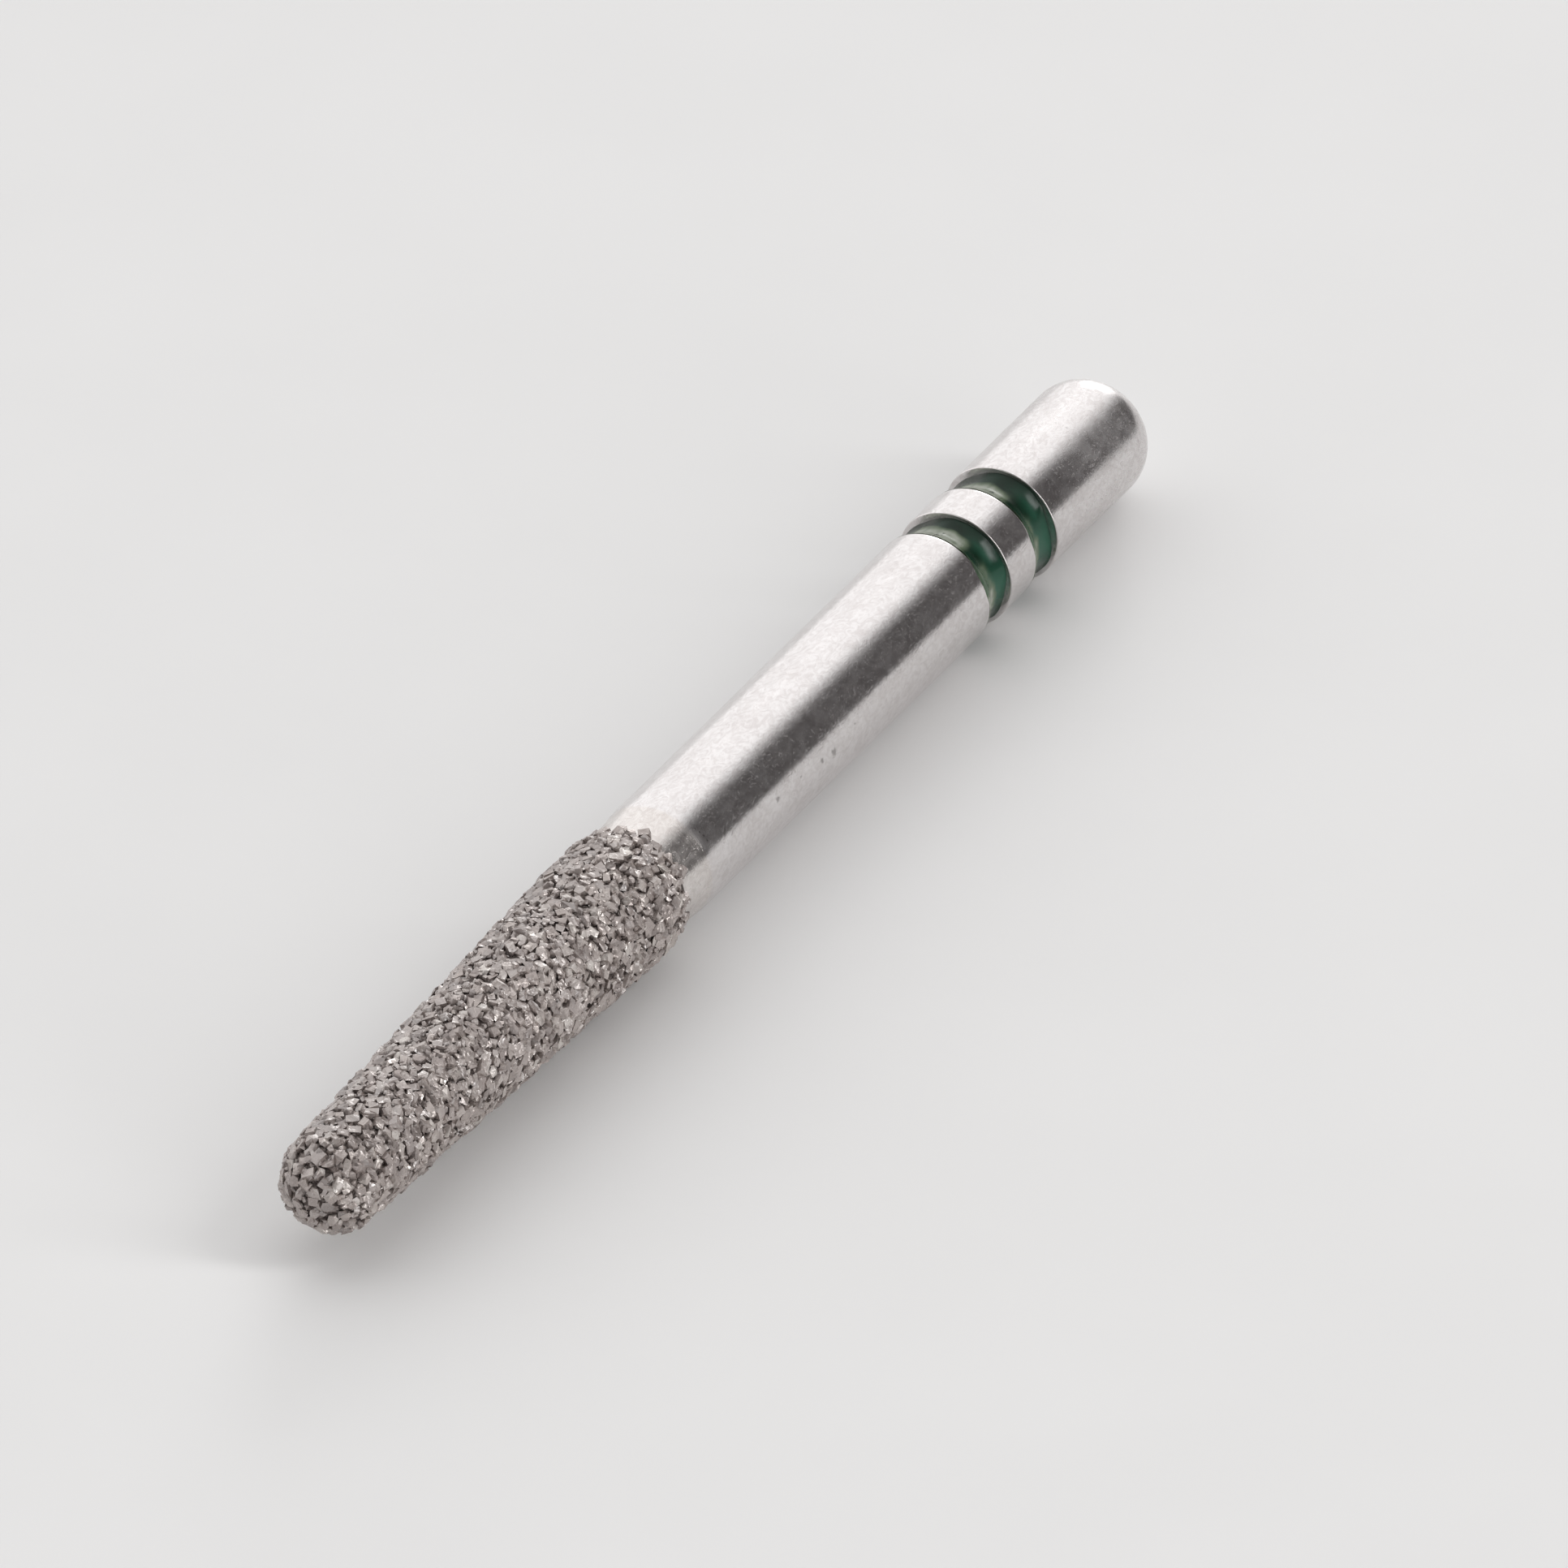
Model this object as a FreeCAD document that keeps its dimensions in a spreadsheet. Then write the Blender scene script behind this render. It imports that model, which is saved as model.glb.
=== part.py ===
import FreeCAD, Part
import itertools
import math
import os
import random

import Sketcher

# A friction-grip diamond dental bur: a steel shank with two colour rings, a short neck, and a tapered,
# round-ended head whose steel core carries nickel plating with a close layer of diamond grains on it.
# Lengths are millimetres. The bur's axis is X: x = 0 is the flat of the butt end, +X runs to the working
# tip, and +Z is up. The head is everything from the start of the plating to the tip.

# Driving dimensions: name, size, what it measures
SIZES = [
    ("overall_length", 19.80, "flat of the butt end to the outermost grain of the tip"),
    ("shank_diameter", 1.60, "the part that the handpiece grips"),
    ("butt_rounding", 0.62, "radius between the shank and the flat of the butt end"),
    ("rear_groove_start", 2.71, "butt end to the near wall of the rear groove"),
    ("groove_pitch", 1.15, "rear groove to front groove"),
    ("groove_width", 0.50, "wall to wall"),
    ("groove_depth", 0.16, "below the shank's surface"),
    ("groove_rim_chamfer", 0.02, "broken edge of each groove wall"),
    ("lacquer_edge_recess", 0.035, "lacquer below the shank's surface, at the groove walls"),
    ("lacquer_sag", 0.04, "hollow of the lacquer between the groove walls"),
    ("neck_length", 0.65, "end of the shank to the start of the plating"),
    ("neck_diameter", 1.50, "small end of the neck, where the plating begins"),
    ("head_length", 7.95, "start of the plating to the outermost grain of the tip"),
    ("head_diameter", 1.80, "largest, over the grains"),
    ("tip_diameter", 1.38, "ball of the tip, over the grains"),
    ("bond_thickness", 0.073, "nickel over the steel core"),
    ("bond_run_out", 0.40, "length over which the nickel rises from the neck to its full thickness"),
    ("grain_height", 0.090, "tallest grain, above the nickel"),
    ("grain_width", 0.175, "widest grain, across its corners"),
    ("grain_clearance", 0.004, "least room between two grains"),
]

# The grains are set in passes, the largest first: each pass is a share of the full grain
GRAIN_PASSES = (1.0, 0.84, 0.70, 0.56)
TRIES_PER_PASS = 8000
GRAIN_SEED = 18

# Crystal habits: the crown's width as a share of the base's, and how far its lowest corner drops
CRYSTAL_HABITS = ((1.0, 0.10), (0.85, 0.35), (0.70, 0.20), (0.92, 0.55))

# Places and radii along the bur, as expressions of the sheet
SHANK_RADIUS = "Sizes.shank_diameter / 2"
GROOVE_FLOOR = f"{SHANK_RADIUS} - Sizes.groove_depth"
NECK_RADIUS = "Sizes.neck_diameter / 2"
HEAD_START = "Sizes.overall_length - Sizes.head_length"
NECK_START = f"{HEAD_START} - Sizes.neck_length"
FULL_START = f"{HEAD_START} + Sizes.bond_run_out"
BALL_CENTRE = "Sizes.overall_length - Sizes.tip_diameter / 2"
BOND_RADIUS = "Sizes.head_diameter / 2 - Sizes.grain_height"
BOND_BALL = "Sizes.tip_diameter / 2 - Sizes.grain_height"
CORE_RADIUS = f"{BOND_RADIUS} - Sizes.bond_thickness"
CORE_BALL = f"{BOND_BALL} - Sizes.bond_thickness"

doc = FreeCAD.newDocument("DentalBur")
sheet = doc.addObject("Spreadsheet::Sheet", "Sizes")
for row, (alias, size, meaning) in enumerate(SIZES, start=1):
    sheet.set(f"A{row}", alias.replace("_", " "))
    sheet.set(f"B{row}", str(size))
    sheet.set(f"C{row}", meaning)
    sheet.setAlias(f"B{row}", alias)
doc.recompute()


def size_of(expression):
    """The present size of an expression of the sheet."""
    return float(sheet.evalExpression(expression))


def new_body(label):
    body = doc.addObject("PartDesign::Body", label)
    body.Label = label
    return body


def new_sketch(body, name):
    """A sketch in the body's own XY plane: its x runs along the bur and its y is a radius."""
    sketch = body.newObject("Sketcher::SketchObject", name)
    plane = next(f for f in body.Origin.OriginFeatures if f.Role == "XY_Plane")
    sketch.AttachmentSupport = [(plane, "")]
    sketch.MapMode = "FlatFace"
    return sketch


def line(sketch, first, last):
    return sketch.addGeometry(Part.LineSegment(FreeCAD.Vector(*first, 0), FreeCAD.Vector(*last, 0)))


def arc(sketch, middle, first, last):
    """An arc that turns anticlockwise about its middle from the first point to the last."""
    circle = Part.Circle(FreeCAD.Vector(*middle, 0), FreeCAD.Vector(0, 0, 1), math.dist(middle, first))
    angles = [math.atan2(y - middle[1], x - middle[0]) for x, y in (first, last)]
    return sketch.addGeometry(Part.ArcOfCircle(circle, *angles))


def start(edge):
    return edge, 1


def end(edge):
    return edge, 2


def centre(edge):
    return edge, 3


def sketch_origin():
    return -1, 1


def bur_axis():
    return -1


def radial_axis():
    return -2


def rule(sketch, kind, *where):
    sketch.addConstraint(Sketcher.Constraint(kind, *where))


def meet(sketch, first_point, second_point):
    rule(sketch, "Coincident", *first_point, *second_point)


def blend(sketch, first_point, second_point):
    """Two edges meet at these ends and run into each other with no corner."""
    rule(sketch, "Tangent", *first_point, *second_point)


def bind(sketch, name, expression, kind, *where):
    """A dimension of the sketch that follows an expression of the sheet."""
    index = sketch.addConstraint(Sketcher.Constraint(kind, *where, size_of(expression)))
    sketch.renameConstraint(index, name)
    sketch.setExpression(f"Constraints.{name}", expression)


def bind_point(sketch, name, point, along, radius):
    bind(sketch, f"{name}_x", along, "DistanceX", *sketch_origin(), *point)
    bind(sketch, f"{name}_r", radius, "DistanceY", *sketch_origin(), *point)


def revolve(body, sketch, name):
    feature = body.newObject("PartDesign::Revolution", name)
    feature.Profile = sketch
    feature.ReferenceAxis = (sketch, ["H_Axis"])
    feature.Angle = 360
    return feature


def cone_end(cone_start, ball_centre, ball):
    """Where a cone runs into the tip's ball with no corner, and the cone's half angle."""
    reach = math.hypot(ball_centre - cone_start[0], cone_start[1])
    half_angle = math.atan2(cone_start[1], ball_centre - cone_start[0]) - math.asin(ball / reach)
    return (ball_centre + ball * math.sin(half_angle), ball * math.cos(half_angle)), half_angle


def run_out_centre(neck_end, cone_start, half_angle):
    """Centre of the arc by which the nickel rises from the neck and runs into the cone with no corner."""
    normal = (math.sin(half_angle), math.cos(half_angle))
    back = (neck_end[0] - cone_start[0], neck_end[1] - cone_start[1])
    radius = -(back[0] ** 2 + back[1] ** 2) / (2 * (back[0] * normal[0] + back[1] * normal[1]))
    return (cone_start[0] - radius * normal[0], cone_start[1] - radius * normal[1])


def core_outline(sketch):
    """The core's outline from the small end of the neck to the axis at the tip: a step, a cone and a ball."""
    neck_end = (size_of(HEAD_START), size_of(NECK_RADIUS))
    cone_start = (size_of(FULL_START), size_of(CORE_RADIUS))
    ball_centre = size_of(BALL_CENTRE)
    ball = size_of(CORE_BALL)
    cone_tail, _ = cone_end(cone_start, ball_centre, ball)
    step = line(sketch, neck_end, cone_start)
    cone = line(sketch, cone_start, cone_tail)
    tip = arc(sketch, (ball_centre, 0), (ball_centre + ball, 0), cone_tail)
    meet(sketch, end(step), start(cone))
    blend(sketch, end(cone), end(tip))
    rule(sketch, "PointOnObject", *centre(tip), bur_axis())
    rule(sketch, "PointOnObject", *start(tip), bur_axis())
    bind_point(sketch, "neck_end", start(step), HEAD_START, NECK_RADIUS)
    bind_point(sketch, "core_start", start(cone), FULL_START, CORE_RADIUS)
    bind(sketch, "ball_centre", BALL_CENTRE, "DistanceX", *sketch_origin(), *centre(tip))
    bind(sketch, "core_ball", CORE_BALL, "Radius", tip)
    return step, tip


def make_steel_blank():
    """Shank, neck and core, turned in one piece, with the two ring grooves cut into the shank."""
    body = new_body("steel_blank")
    sketch = new_sketch(body, "BlankProfile")
    step, tip = core_outline(sketch)
    shank = size_of(SHANK_RADIUS)
    rounding = size_of("Sizes.butt_rounding")
    neck_start = (size_of(NECK_START), shank)
    neck_end = (size_of(HEAD_START), size_of(NECK_RADIUS))
    tip_point = (size_of(BALL_CENTRE) + size_of(CORE_BALL), 0)
    flat_edge = (0, shank - rounding)
    shank_start = (rounding, shank)
    centre_line = line(sketch, tip_point, (0, 0))
    butt_flat = line(sketch, (0, 0), flat_edge)
    butt_round = arc(sketch, (rounding, shank - rounding), shank_start, flat_edge)
    shank_side = line(sketch, shank_start, neck_start)
    neck = line(sketch, neck_start, neck_end)
    meet(sketch, start(centre_line), start(tip))
    meet(sketch, end(centre_line), sketch_origin())
    meet(sketch, start(butt_flat), sketch_origin())
    rule(sketch, "Vertical", butt_flat)
    blend(sketch, end(butt_flat), end(butt_round))
    blend(sketch, start(butt_round), start(shank_side))
    rule(sketch, "Horizontal", shank_side)
    meet(sketch, end(shank_side), start(neck))
    meet(sketch, end(neck), start(step))
    bind(sketch, "butt_rounding", "Sizes.butt_rounding", "Radius", butt_round)
    bind_point(sketch, "neck_start", start(neck), NECK_START, SHANK_RADIUS)
    turned = revolve(body, sketch, "TurnedBlank")

    cut = new_sketch(body, "GrooveSection")
    ring_groove_section(cut)
    groove = body.newObject("PartDesign::Groove", "RearGroove")
    groove.Profile = cut
    groove.ReferenceAxis = (cut, ["H_Axis"])
    groove.Angle = 360
    both = body.newObject("PartDesign::LinearPattern", "BothGrooves")
    both.Originals = [groove]
    both.Direction = (cut, ["H_Axis"])
    both.Occurrences = 2
    both.setExpression("Length", "Sizes.groove_pitch")
    body.Tip = both
    return body, turned


def ring_groove_section(sketch):
    """Section of the rear groove: a floor, two walls, and chamfers that run on past the shank's surface."""
    rear_wall = "Sizes.rear_groove_start"
    front_wall = f"{rear_wall} + Sizes.groove_width"
    chamfer = "Sizes.groove_rim_chamfer"
    wall_top = f"{SHANK_RADIUS} - {chamfer}"
    above = f"{SHANK_RADIUS} + {chamfer}"
    corners = [
        (rear_wall, GROOVE_FLOOR),
        (front_wall, GROOVE_FLOOR),
        (front_wall, wall_top),
        (f"{front_wall} + 2 * {chamfer}", above),
        (f"{rear_wall} - 2 * {chamfer}", above),
        (rear_wall, wall_top),
    ]
    points = [(size_of(along), size_of(radius)) for along, radius in corners]
    edges = [line(sketch, a, b) for a, b in zip(points, points[1:] + points[:1])]
    for edge, after in zip(edges, edges[1:] + edges[:1]):
        meet(sketch, end(edge), start(after))
    for number, (edge, (along, radius)) in enumerate(zip(edges, corners)):
        bind_point(sketch, f"corner_{number}", start(edge), along, radius)


def make_colour_ring(label, place):
    """Lacquer that fills the bottom of one groove, with a hollow face that climbs the two walls."""
    body = new_body(label)
    sketch = new_sketch(body, "LacquerSection")
    edge_radius = f"{SHANK_RADIUS} - Sizes.lacquer_edge_recess"
    # radius of the arc that sags by lacquer_sag over groove_width
    sag_radius = "(Sizes.groove_width ^ 2 / 4 + Sizes.lacquer_sag ^ 2) / (2 * Sizes.lacquer_sag)"
    floor = size_of(GROOVE_FLOOR)
    top = size_of(edge_radius)
    width = size_of("Sizes.groove_width")
    face_centre = (width / 2, top - size_of("Sizes.lacquer_sag") + size_of(sag_radius))
    bottom = line(sketch, (0, floor), (width, floor))
    front_wall = line(sketch, (width, floor), (width, top))
    face = arc(sketch, face_centre, (0, top), (width, top))
    rear_wall = line(sketch, (0, top), (0, floor))
    meet(sketch, end(bottom), start(front_wall))
    meet(sketch, end(front_wall), end(face))
    meet(sketch, start(face), start(rear_wall))
    meet(sketch, end(rear_wall), start(bottom))
    rule(sketch, "PointOnObject", *start(bottom), radial_axis())
    rule(sketch, "Vertical", rear_wall)
    rule(sketch, "Vertical", front_wall)
    rule(sketch, "Horizontal", bottom)
    bind(sketch, "floor", GROOVE_FLOOR, "DistanceY", *sketch_origin(), *start(bottom))
    bind(sketch, "rear_edge", edge_radius, "DistanceY", *sketch_origin(), *start(rear_wall))
    bind_point(sketch, "front_edge", end(front_wall), "Sizes.groove_width", edge_radius)
    bind(sketch, "sag_radius", sag_radius, "Radius", face)
    revolve(body, sketch, "Lacquer")
    body.setExpression("Placement.Base.x", place)
    return body


def make_nickel_bond():
    """Plating on the core: it thins out to nothing at the neck, and follows the cone and ball beneath it."""
    body = new_body("nickel_bond")
    sketch = new_sketch(body, "BondSection")
    step, core_tip = core_outline(sketch)
    neck_end = (size_of(HEAD_START), size_of(NECK_RADIUS))
    cone_start = (size_of(FULL_START), size_of(BOND_RADIUS))
    ball_centre = size_of(BALL_CENTRE)
    ball = size_of(BOND_BALL)
    cone_tail, half_angle = cone_end(cone_start, ball_centre, ball)
    rise_centre = run_out_centre(neck_end, cone_start, half_angle)
    nose = line(sketch, (ball_centre + size_of(CORE_BALL), 0), (ball_centre + ball, 0))
    tip = arc(sketch, (ball_centre, 0), (ball_centre + ball, 0), cone_tail)
    cone = line(sketch, cone_tail, cone_start)
    rise = arc(sketch, rise_centre, cone_start, neck_end)
    meet(sketch, start(nose), start(core_tip))
    meet(sketch, end(nose), start(tip))
    rule(sketch, "Horizontal", nose)
    meet(sketch, centre(tip), centre(core_tip))
    blend(sketch, end(tip), start(cone))
    blend(sketch, end(cone), start(rise))
    meet(sketch, end(rise), start(step))
    bind(sketch, "bond_ball", BOND_BALL, "Radius", tip)
    bind_point(sketch, "full_start", end(cone), FULL_START, BOND_RADIUS)
    revolve(body, sketch, "Plating")
    return body


def bond_stretches():
    """The nickel's outer surface from neck to tip, as arcs and a line with their lengths."""
    neck_end = (size_of(HEAD_START), size_of(NECK_RADIUS))
    cone_start = (size_of(FULL_START), size_of(BOND_RADIUS))
    ball_centre = size_of(BALL_CENTRE)
    ball = size_of(BOND_BALL)
    cone_tail, half_angle = cone_end(cone_start, ball_centre, ball)
    rise_centre = run_out_centre(neck_end, cone_start, half_angle)
    rise_radius = math.dist(rise_centre, cone_start)
    rise_angle = math.atan2(neck_end[0] - rise_centre[0], neck_end[1] - rise_centre[1])

    def on_rise(length):
        tilt = rise_angle + length / rise_radius
        x = rise_centre[0] + rise_radius * math.sin(tilt)
        return x, rise_centre[1] + rise_radius * math.cos(tilt), tilt

    def on_cone(length):
        x = cone_start[0] + length * math.cos(half_angle)
        return x, cone_start[1] - length * math.sin(half_angle), half_angle

    def on_ball(length):
        tilt = half_angle + length / ball
        return ball_centre + ball * math.sin(tilt), ball * math.cos(tilt), tilt

    return [
        (rise_radius * (half_angle - rise_angle), on_rise),
        (math.dist(cone_start, cone_tail), on_cone),
        (ball * (math.pi / 2 - half_angle), on_ball),
    ]


def crystal(width, height, crown_share, drop):
    """A blunt crystal of eight faces that stands on a three-cornered base at z = 0."""
    base = []
    crown = []
    for corner in range(3):
        turn = math.radians(120 * corner)
        half_step = turn + math.radians(60)
        base.append(FreeCAD.Vector(math.cos(turn), math.sin(turn), 0) * (width / 2))
        rim = FreeCAD.Vector(math.cos(half_step), math.sin(half_step), 0) * (width / 2 * crown_share)
        crown.append(rim + FreeCAD.Vector(0, 0, height * (1 - drop * corner / 2)))
    faces = [base[::-1], crown]
    for corner in range(3):
        after = (corner + 1) % 3
        faces.append([base[corner], base[after], crown[corner]])
        faces.append([crown[corner], base[after], crown[after]])
    return Part.Solid(Part.Shell([Part.Face(Part.makePolygon(face + face[:1])) for face in faces]))


def on_bond(distance):
    """Point of the nickel's surface a distance from the neck: x, radius, and tilt away from the radial."""
    stretches = bond_stretches()
    for length, surface in stretches[:-1]:
        if distance <= length:
            return surface(distance)
        distance -= length
    return stretches[-1][1](distance)


def scatter_grains():
    """Seats for the grains: (share of the full grain, x, radius, tilt, turn), with no two too close."""
    total = sum(length for length, _ in bond_stretches())
    width = size_of("Sizes.grain_width")
    clearance = size_of("Sizes.grain_clearance")
    cell = width + clearance
    chance = random.Random(GRAIN_SEED)
    # one full grain stands on the pole of the tip, and so sets the overall length
    tries = [(1.0, total, 0.0)]
    for share in GRAIN_PASSES:
        for _ in range(TRIES_PER_PASS):
            tries.append((share, chance.uniform(share * width / 2, total), chance.uniform(0, 2 * math.pi)))
    seats = []
    grid = {}
    for share, distance, turn in tries:
        x, radius, tilt = on_bond(distance)
        place = (x, radius * math.cos(turn), radius * math.sin(turn))
        home = tuple(int(p // cell) for p in place)
        near = itertools.product(*((n - 1, n, n + 1) for n in home))
        others = [other for box in near for other in grid.get(box, ())]
        reach = share * width / 2
        if all(math.dist(place, spot) >= reach + other_reach + clearance for spot, other_reach in others):
            grid.setdefault(home, []).append((place, reach))
            seats.append((share, x, radius, tilt, turn))
    return seats


def make_diamond_grit():
    """Separate grains, each standing on the nickel with its base square to the surface under it."""
    height = size_of("Sizes.grain_height")
    width = size_of("Sizes.grain_width")
    along = FreeCAD.Vector(1, 0, 0)
    across = FreeCAD.Vector(0, 1, 0)
    upright = FreeCAD.Vector(0, 0, 1)
    kinds = {}
    for share in GRAIN_PASSES:
        kinds[share] = [crystal(share * width, share * height, *habit) for habit in CRYSTAL_HABITS]
    chance = random.Random(GRAIN_SEED)
    grains = []
    for share, x, radius, tilt, turn in scatter_grains():
        round_axis = FreeCAD.Rotation(along, math.degrees(turn))
        lean = FreeCAD.Rotation(across, math.degrees(tilt))
        spin = FreeCAD.Rotation(upright, chance.uniform(0, 360))
        grain = chance.choice(kinds[share]).copy()
        foot = round_axis.multVec(FreeCAD.Vector(x, 0, radius))
        grain.Placement = FreeCAD.Placement(foot, round_axis * lean * spin)
        grains.append(grain)
    grit = doc.addObject("Part::Feature", "diamond_grit")
    grit.Label = "diamond_grit"
    grit.Shape = Part.makeCompound(grains)
    grit.Placement = FreeCAD.Placement()
    return grit


blank, turned_blank = make_steel_blank()
sub_parts = [
    blank,
    make_colour_ring("rear_colour_ring", "Sizes.rear_groove_start"),
    make_colour_ring("front_colour_ring", "Sizes.rear_groove_start + Sizes.groove_pitch"),
    make_nickel_bond(),
    make_diamond_grit(),
]
doc.recompute()

for item in doc.Objects:
    if "Invalid" in item.State or "Error" in item.State:
        raise RuntimeError(f"{item.Label} did not recompute: {item.State}")
for part in sub_parts:
    if part.Shape.isNull() or not part.Shape.isValid():
        raise RuntimeError(f"{part.Label} has no valid shape")

# both grooves have to take metal away: the volume that two plain grooves of this section would take
groove_floor = size_of(GROOVE_FLOOR)
ring_area = math.pi * (size_of(SHANK_RADIUS) ** 2 - groove_floor**2)
least_cut = 2 * ring_area * size_of("Sizes.groove_width")
if turned_blank.Shape.Volume - blank.Shape.Volume < least_cut:
    raise RuntimeError("the ring grooves did not cut the shank")

os.makedirs("parts", exist_ok=True)
for part in sub_parts:
    part.Shape.exportStep(f"parts/{part.Label}.step")
    print(f"{part.Label}: {len(part.Shape.Solids)} solids, {part.Shape.Volume:.4f} mm3")
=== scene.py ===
import math

import bmesh
import bpy
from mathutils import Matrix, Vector, noise


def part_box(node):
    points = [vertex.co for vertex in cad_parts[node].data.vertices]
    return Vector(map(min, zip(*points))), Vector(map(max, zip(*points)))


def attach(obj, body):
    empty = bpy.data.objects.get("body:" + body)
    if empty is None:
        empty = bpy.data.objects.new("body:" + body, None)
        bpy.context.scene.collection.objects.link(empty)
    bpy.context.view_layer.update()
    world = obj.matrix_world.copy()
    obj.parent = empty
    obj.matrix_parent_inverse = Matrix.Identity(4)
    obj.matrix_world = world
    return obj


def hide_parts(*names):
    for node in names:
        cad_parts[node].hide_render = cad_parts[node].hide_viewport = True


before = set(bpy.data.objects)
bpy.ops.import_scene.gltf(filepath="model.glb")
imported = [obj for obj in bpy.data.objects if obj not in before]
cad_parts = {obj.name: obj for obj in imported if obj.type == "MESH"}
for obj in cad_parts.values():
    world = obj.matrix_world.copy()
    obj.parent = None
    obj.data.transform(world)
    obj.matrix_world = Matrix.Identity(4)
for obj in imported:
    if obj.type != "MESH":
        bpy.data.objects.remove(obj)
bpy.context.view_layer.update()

# A coarse diamond dental bur lying on a pale table, lit like a product picture. The bur's axis is X, from
# the butt end to the working tip. Sizes in the dictionaries are millimetres and turns are degrees from +Y
# towards +Z, unless a note says otherwise.
mm = 0.001
scene = bpy.context.scene
scene.view_settings.view_transform = "Standard"


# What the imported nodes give: places along the axis and radii, in millimetres

def nodeSize(name):
    low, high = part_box(name)
    return low.x / mm, high.x / mm, (high.z - low.z) / 2 / mm


_, coreTip, shankRadius = nodeSize("steel_blank")
headStart, bondTip, bondRadius = nodeSize("nickel_bond")
_, gritTip, headRadius = nodeSize("diamond_grit")
ringSizes = {name: nodeSize(name) for name in ("rear_colour_ring", "front_colour_ring")}
print("frame read: the bur is %.2f mm long and its shank %.2f mm thick" % (gritTip, 2 * shankRadius))


# Node helpers

def addNode(tree, kind, inputs=None, **settings):
    made = tree.nodes.new(kind)
    for key, value in settings.items():
        setattr(made, key, value)
    for key, value in (inputs or {}).items():
        if isinstance(value, bpy.types.NodeSocket):
            tree.links.new(value, made.inputs[key])
        else:
            made.inputs[key].default_value = value
    return made


def maths(tree, operation, first, second=0.0):
    return addNode(tree, "ShaderNodeMath", {0: first, 1: second}, operation=operation).outputs[0]


def vectorMaths(tree, operation, first, second=(0, 0, 0), output=0):
    return addNode(tree, "ShaderNodeVectorMath", {0: first, 1: second}, operation=operation).outputs[output]


def scaled(tree, vector, factor):
    inputs = {"Vector": vector, "Scale": factor}
    return addNode(tree, "ShaderNodeVectorMath", inputs, operation="SCALE").outputs[0]


def remap(tree, value, fromLow, fromHigh, toLow=0.0, toHigh=1.0, kind="SMOOTHSTEP"):
    inputs = {"Value": value, "From Min": fromLow, "From Max": fromHigh, "To Min": toLow, "To Max": toHigh}
    return addNode(tree, "ShaderNodeMapRange", inputs, interpolation_type=kind).outputs["Result"]


def mixColour(tree, factor, first, second, blend="MIX"):
    inputs = {0: factor, 6: first, 7: second}
    return addNode(tree, "ShaderNodeMix", inputs, data_type="RGBA", blend_type=blend).outputs[2]


def ramp(tree, value, stops):
    made = addNode(tree, "ShaderNodeValToRGB", {"Fac": value})
    elements = made.color_ramp.elements
    while len(elements) < len(stops):
        elements.new(0.5)
    for element, (position, colour) in zip(elements, stops):
        element.position = position
        element.color = (*colour, 1)
    return made.outputs["Color"]


def newGroup(name, kind, inputs, outputs):
    tree = bpy.data.node_groups.new(name, kind)
    for direction, sockets in (("INPUT", inputs), ("OUTPUT", outputs)):
        for label, (socketType, value) in sockets.items():
            socket = tree.interface.new_socket(label, in_out=direction, socket_type=socketType)
            if value is not None:
                socket.default_value = value
    return tree, addNode(tree, "NodeGroupInput").outputs, addNode(tree, "NodeGroupOutput").inputs


def newMaterial(name, **constants):
    material = bpy.data.materials.new(name)
    material.use_nodes = True
    tree = material.node_tree
    shader = tree.nodes["Principled BSDF"]
    for key, value in constants.items():
        shader.inputs[key].default_value = value
    return material, tree, shader


# Noise that all materials share: features per millimetre along each axis, faded between two levels

def makeStretchedNoise():
    inputs = {
        "Features Per Millimetre": ("NodeSocketVector", (1, 1, 1)),
        "Detail": ("NodeSocketFloat", 2.0),
        "Swirl": ("NodeSocketFloat", 0.0),
        "Low": ("NodeSocketFloat", 0.35),
        "High": ("NodeSocketFloat", 0.65),
    }
    outputs = {"Value": ("NodeSocketFloat", None)}
    tree, given, wanted = newGroup("stretchedNoise", "ShaderNodeTree", inputs, outputs)
    place = addNode(tree, "ShaderNodeTexCoord").outputs["Object"]
    inMillimetres = vectorMaths(tree, "MULTIPLY", place, (1 / mm, 1 / mm, 1 / mm))
    stretched = vectorMaths(tree, "MULTIPLY", inMillimetres, given["Features Per Millimetre"])
    cloud = addNode(tree, "ShaderNodeTexNoise", {
        "Vector": stretched, "Scale": 1.0, "Detail": given["Detail"], "Distortion": given["Swirl"],
    })
    level = remap(tree, cloud.outputs["Fac"], given["Low"], given["High"])
    tree.links.new(level, wanted["Value"])
    return tree


stretchedNoise = makeStretchedNoise()


def cloudOf(tree, perMillimetre, low, high, detail=2.0, swirl=0.0):
    inputs = {
        "Features Per Millimetre": perMillimetre,
        "Detail": detail,
        "Swirl": swirl,
        "Low": low,
        "High": high,
    }
    made = addNode(tree, "ShaderNodeGroup", node_tree=stretchedNoise)
    for key, value in inputs.items():
        made.inputs[key].default_value = value
    return made.outputs["Value"]


def cloudsOf(tree, patterns):
    return {name: cloudOf(tree, **pattern) for name, pattern in patterns.items()}


# Small marks at chosen places: each fades out between the two shares of its size, with a ragged edge
markShape = {
    "solidShare": 0.6,
    "clearShare": 1.4,
    "ragged": {"perMillimetre": (24.0, 24.0, 24.0), "low": 0.2, "high": 0.8},
}


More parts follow.
